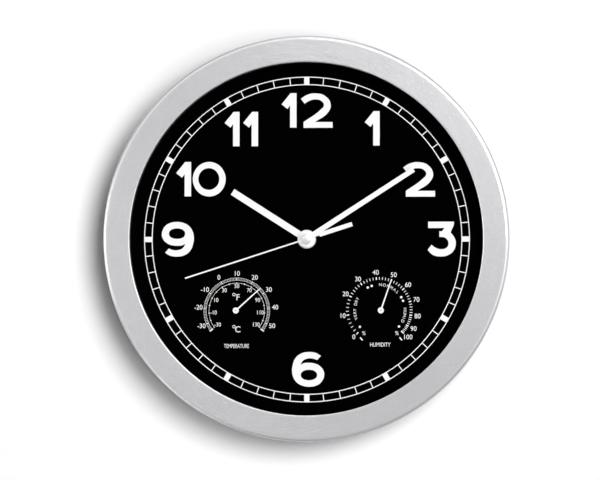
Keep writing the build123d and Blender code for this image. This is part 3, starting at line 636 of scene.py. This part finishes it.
fahrenheitPerCelsius = 1.8
thermometer = {
    "centre": middleOf("thermometer_arbor", (0.65, -0.3)), "perDegree": 2.83,
    "celsius": range(-30, 51, 10), "topCelsius": 10, "reach": 127.0,
    "band": (22.7, 24.5), "line": 0.16, "inset": 0.1, "tick": 0.22, "tenTick": 0.6,
    "endTick": 0.9, "endOver": 0.6,  # the closing tick, and how far it stands past the band
    "label": {"at": 27.6, "drift": 1.0, "size": 5.0, "widen": 0.95},  # drift is outward at the sides
    "fahrenheit": range(-30, 131, 20), "topFahrenheit": 50, "innerReach": 126.0,
    "innerArc": 20.6, "innerLine": 0.22, "innerTick": 0.5, "innerHalf": 0.55, "innerStep": 10,
    "innerLabel": {"at": 18.3, "drift": -1.0, "size": 4.2, "widen": 0.9},
    "signs": {"F": 9.9, "C": -13.9}, "signSize": 6.4, "signAcross": 0.8,
    "degree": {"radius": 0.95, "line": 0.4, "across": -2.1, "up": 2.2},
    "word": {"text": "TEMPERATURE", "size": 4.3, "at": (-0.2, -26.2), "widen": 0.66},
}


def celsiusScale(look, centre):
    bm = bmesh.new()
    low, high = look["band"]
    for radius in look["band"]:
        arcBand(bm, radius, look["line"], -look["reach"], look["reach"], centre)
    steps = int(look["reach"] / look["perDegree"])
    for number in range(-steps, steps + 1):
        ten = (number + look["topCelsius"]) % 10 == 0
        width = look["tenTick"] if ten else look["tick"]
        tick(bm, number * look["perDegree"], low + look["inset"], high - look["inset"], width, centre)
    for end in (-look["reach"], look["reach"]):
        tick(bm, end, low - look["endOver"], high + look["endOver"], look["endTick"], centre)
    inkPiece("celsiusTicks", bm)


def fahrenheitScale(look, perFahrenheit, centre):
    bm = bmesh.new()
    middle, half = look["innerArc"], look["innerHalf"]
    arcBand(bm, middle, look["innerLine"], -look["innerReach"], look["innerReach"], centre)
    for value in range(look["fahrenheit"].start, look["fahrenheit"].stop, look["innerStep"]):
        angle = (value - look["topFahrenheit"]) * perFahrenheit
        tick(bm, angle, middle - half, middle + half, look["innerTick"], centre)
    inkPiece("fahrenheitTicks", bm)


def thermometerScale(look):
    centre = look["centre"]
    perFahrenheit = look["perDegree"] / fahrenheitPerCelsius
    celsiusScale(look, centre)
    fahrenheitScale(look, perFahrenheit, centre)

    labels = bmesh.new()
    for values, top, perDegree, label in (
            (look["celsius"], look["topCelsius"], look["perDegree"], look["label"]),
            (look["fahrenheit"], look["topFahrenheit"], perFahrenheit, look["innerLabel"])):
        for value in values:
            angle = (value - top) * perDegree
            radius = label["at"] + label["drift"] * abs(math.sin(math.radians(angle)))
            writeLabel(labels, value, label, radius, angle, centre)
    ring = look["degree"]
    for sign, height in look["signs"].items():
        writeWord(labels, sign, look["signSize"], beside(centre, look["signAcross"], height))
        middle = beside(centre, ring["across"], height + ring["up"])
        arcBand(labels, ring["radius"], ring["line"], 0, 360, middle)
    inkPiece("thermometerLabels", labels)
    wordBelow("temperatureWord", look["word"], centre)


hygrometer = {
    "centre": middleOf("hygrometer_arbor", (-1.15, 0.1)),
    "angles": {0: -136.4, 10: -98.7, 20: -64.4, 30: -34.5, 40: -5.4, 50: 22.2, 60: 48.7, 70: 74.2, 80: 99.0,
               90: 118.6, 100: 133.5},
    "band": (22.6, 24.6), "parts": 5, "tick": 0.42, "tenTick": 0.75,
    "endTick": 0.9, "endOver": 0.3,  # the closing tick, and how far it stands past the others
    "label": {"at": 27.4, "drift": 0.016, "size": 5.0, "widen": 0.95},  # further out as the numbers rise
    "percent": {"size": 4.0, "across": (-11.4, 13.0), "up": -17.1},
    "slant": {"angle": 140.0, "half": 1.4, "width": 0.9, "across": (-13.3, 15.9), "up": -21.2},
    "comfort": {  # radius, angle of the first letter, degrees between letters
        "VERY DRY": (18.1, -109.5, 6.8), "NORMAL": (18.9, 2.6, 8.5), "HUMID": (18.9, 87.5, 6.8),
    },
    "comfortSize": 3.0,
    "dots": {"at": 18.9, "radius": 0.45, "line": 0.8, "angles": (-130.5, -27.0, -17.2, 59.3, 68.2, 129.5)},
    "word": {"text": "HUMIDITY", "size": 4.3, "at": (0.6, -25.6), "widen": 0.767},
}


def humidityScale(look, centre):
    bm = bmesh.new()
    low, high = look["band"]
    angles = look["angles"]
    tens = sorted(angles)
    for first, second in zip(tens, tens[1:]):
        gap = (angles[second] - angles[first]) / look["parts"]
        for part in range(look["parts"]):
            width = look["tick"] if part else look["tenTick"]
            tick(bm, angles[first] + gap * part, low, high, width, centre)
    tick(bm, angles[tens[-1]], low - look["endOver"], high + look["endOver"], look["endTick"], centre)
    inkPiece("humidityTicks", bm)


def curvedWord(bm, text, size, radius, start, step, centre):
    for place, letter in enumerate(text):
        angle = start + place * step
        if letter != " ":
            writeWord(bm, letter, size, polar(radius, angle, centre), angle)


def hygrometerScale(look):
    centre = look["centre"]
    humidityScale(look, centre)

    labels = bmesh.new()
    label = look["label"]
    for value, angle in look["angles"].items():
        writeLabel(labels, value, label, label["at"] + value * label["drift"], angle, centre)
    percent, slant = look["percent"], look["slant"]
    for across in percent["across"]:
        writeWord(labels, "%", percent["size"], beside(centre, across, percent["up"]))
    for across in slant["across"]:
        middle = beside(centre, across, slant["up"])
        tick(labels, slant["angle"], -slant["half"], slant["half"], slant["width"], middle)
    inkPiece("hygrometerLabels", labels)

    comfort = bmesh.new()
    for text, (radius, start, step) in look["comfort"].items():
        curvedWord(comfort, text, look["comfortSize"], radius, start, step, centre)
    dots = look["dots"]
    for angle in dots["angles"]:
        arcBand(comfort, dots["radius"], dots["line"], 0, 360, polar(dots["at"], angle, centre))
    inkPiece("comfortWords", comfort)
    wordBelow("humidityWord", look["word"], centre)


thermometerScale(thermometer)
hygrometerScale(hygrometer)
print("instrument scales on")


# Wall, light and camera

wall = {
    "reach": 1.6, "hole": 0.140, "gap": 0.0002, "sides": 128,
    "dark": grey(0.95), "pale": grey(0.97), "grain": 700.0,
}


def wallFinish(look):
    # painted in front, clear from behind
    made = bpy.data.materials.new("paleWall")
    made.use_nodes = True
    tree = made.node_tree
    s = Wire(tree)
    shader = tree.nodes["Principled BSDF"]
    shader.inputs["Specular IOR Level"].default_value = 0.0
    paint = s.place().noise(look["grain"]).tint(look["dark"], look["pale"])
    tree.links.new(paint.socket, shader.inputs["Base Color"])
    behind = s.node("ShaderNodeNewGeometry", out="Backfacing")
    clear = s.node("ShaderNodeBsdfTransparent")
    mixed = s.node("ShaderNodeMixShader", {}, {0: behind, 1: Wire(tree, shader.outputs[0]), 2: clear})
    tree.links.new(mixed.socket, tree.nodes["Material Output"].inputs["Surface"])
    return made


def buildWall(look):
    # a flat wall behind the clock, open where the clock covers it
    bm = bmesh.new()
    count = look["sides"]
    rims = []
    for radius in (look["hole"], look["reach"]):
        rim = []
        for i in range(count):
            x, z = polar(radius, 360 * i / count)
            rim.append(bm.verts.new((x, look["gap"], z)))
        rims.append(rim)
    for i in range(count):
        j = (i + 1) % count
        bm.faces.new((rims[0][i], rims[0][j], rims[1][j], rims[1][i]))
    mesh = bpy.data.meshes.new("wall")
    bm.to_mesh(mesh)
    bm.free()
    if mesh.polygons[0].normal.y > 0:
        mesh.flip_normals()
    mesh.materials.append(wallFinish(look))
    addObject("wall", mesh)


lamps = {
    "keyLight": {"at": (6.4, -16.0, 3.8), "size": 8.4, "power": 2420.0},
    "lowLight": {"at": (6.0, -16.0, -3.6), "size": 8.0, "power": 850.0},
    "rearLight": {"at": (-0.5, 1.6, 0.7), "size": 1.2, "power": 34.0},
    "rearCard": {"at": (0.9, 1.2, 1.5), "size": 1.5, "power": 26.0, "mirrored": True},  # sheen on the back
}
panels = {  # pale cards that only show in the metal; powers by degrees past twelve
    "face": {
        "reach": 0.69, "ahead": 0.58, "size": 0.9, "powers": {-90: 0.7, -45: 0.8, 0: 0.4, 45: 5.0, 90: 1.2},
    },
    "edge": {
        "reach": 1.00, "ahead": 0.15, "size": 0.5, "powers": {-135: 1.2, -90: 2.8, 0: 1.0, 90: 0.8},
    },
}


def addLamp(name, at, size, power, mirrored):
    light = bpy.data.lights.new(name, "AREA")
    light.shape = "DISK"
    light.size = size
    light.energy = power
    made = addObject(name, light)
    made.location = at
    made.rotation_euler = (-Vector(at)).to_track_quat("-Z", "Y").to_euler()
    made.visible_glossy = mirrored
    made.visible_diffuse = not mirrored


def buildLamps():
    for name, look in lamps.items():
        addLamp(name, look["at"], look["size"], look["power"], look.get("mirrored", False))
    for name, look in panels.items():
        for angle, power in look["powers"].items():
            x, z = polar(look["reach"], angle)
            addLamp(f"{name}Card{angle}", (x, -look["ahead"], z), look["size"], power, True)


sky = {"seen": 1.0, "mirrored": 0.57, "light": 0.13}


def buildSky(look):
    world = bpy.data.worlds.new("studio")
    bpy.context.scene.world = world
    world.use_nodes = True
    tree = world.node_tree
    s = Wire(tree)
    seen = s.node("ShaderNodeLightPath", out="Is Camera Ray")
    through = s.node("ShaderNodeLightPath", out="Is Transmission Ray")
    mirror = s.node("ShaderNodeLightPath", out="Is Glossy Ray")
    bare = s.sums("MAXIMUM", seen, through)
    toSeen = look["seen"] - look["light"]
    toMirrored = look["mirrored"] - look["light"]
    level = look["light"] + bare * toSeen + mirror * toMirrored
    tree.nodes["Background"].inputs["Color"].default_value = grey(1.0)
    tree.links.new(level.socket, tree.nodes["Background"].inputs["Strength"])


view = {
    "distance": 3.0, "right": 2.2, "below": 2.2,  # metres to the camera, degrees off the clock's axis
    "rimDepth": -0.039, "sensor": 36.0,
    "frame": (600, 480), "middle": (306.05, 238.5), "pixel": 0.738,  # pixels, and millimetres in each
}


def buildCamera(look):
    lens = bpy.data.cameras.new("camera")
    made = addObject("camera", lens)
    wide, high = look["frame"]
    scale = look["pixel"] * mm
    across = (wide / 2 - look["middle"][0]) * scale
    up = (look["middle"][1] - high / 2) * scale
    aim = Vector((across, look["rimDepth"], up))
    side = math.radians(look["right"])
    drop = math.radians(-look["below"])
    away = Vector((math.sin(side) * math.cos(drop), -math.cos(side) * math.cos(drop), math.sin(drop)))
    made.location = aim + away * look["distance"]
    made.rotation_euler = (aim - made.location).to_track_quat("-Z", "Y").to_euler()
    lens.sensor_width = look["sensor"]
    lens.lens = look["sensor"] * look["distance"] / (wide * scale)
    bpy.context.scene.camera = made


buildWall(wall)
buildLamps()
buildSky(sky)
buildCamera(view)
bpy.context.scene.view_settings.view_transform = "Standard"
print("wall, light and camera set")
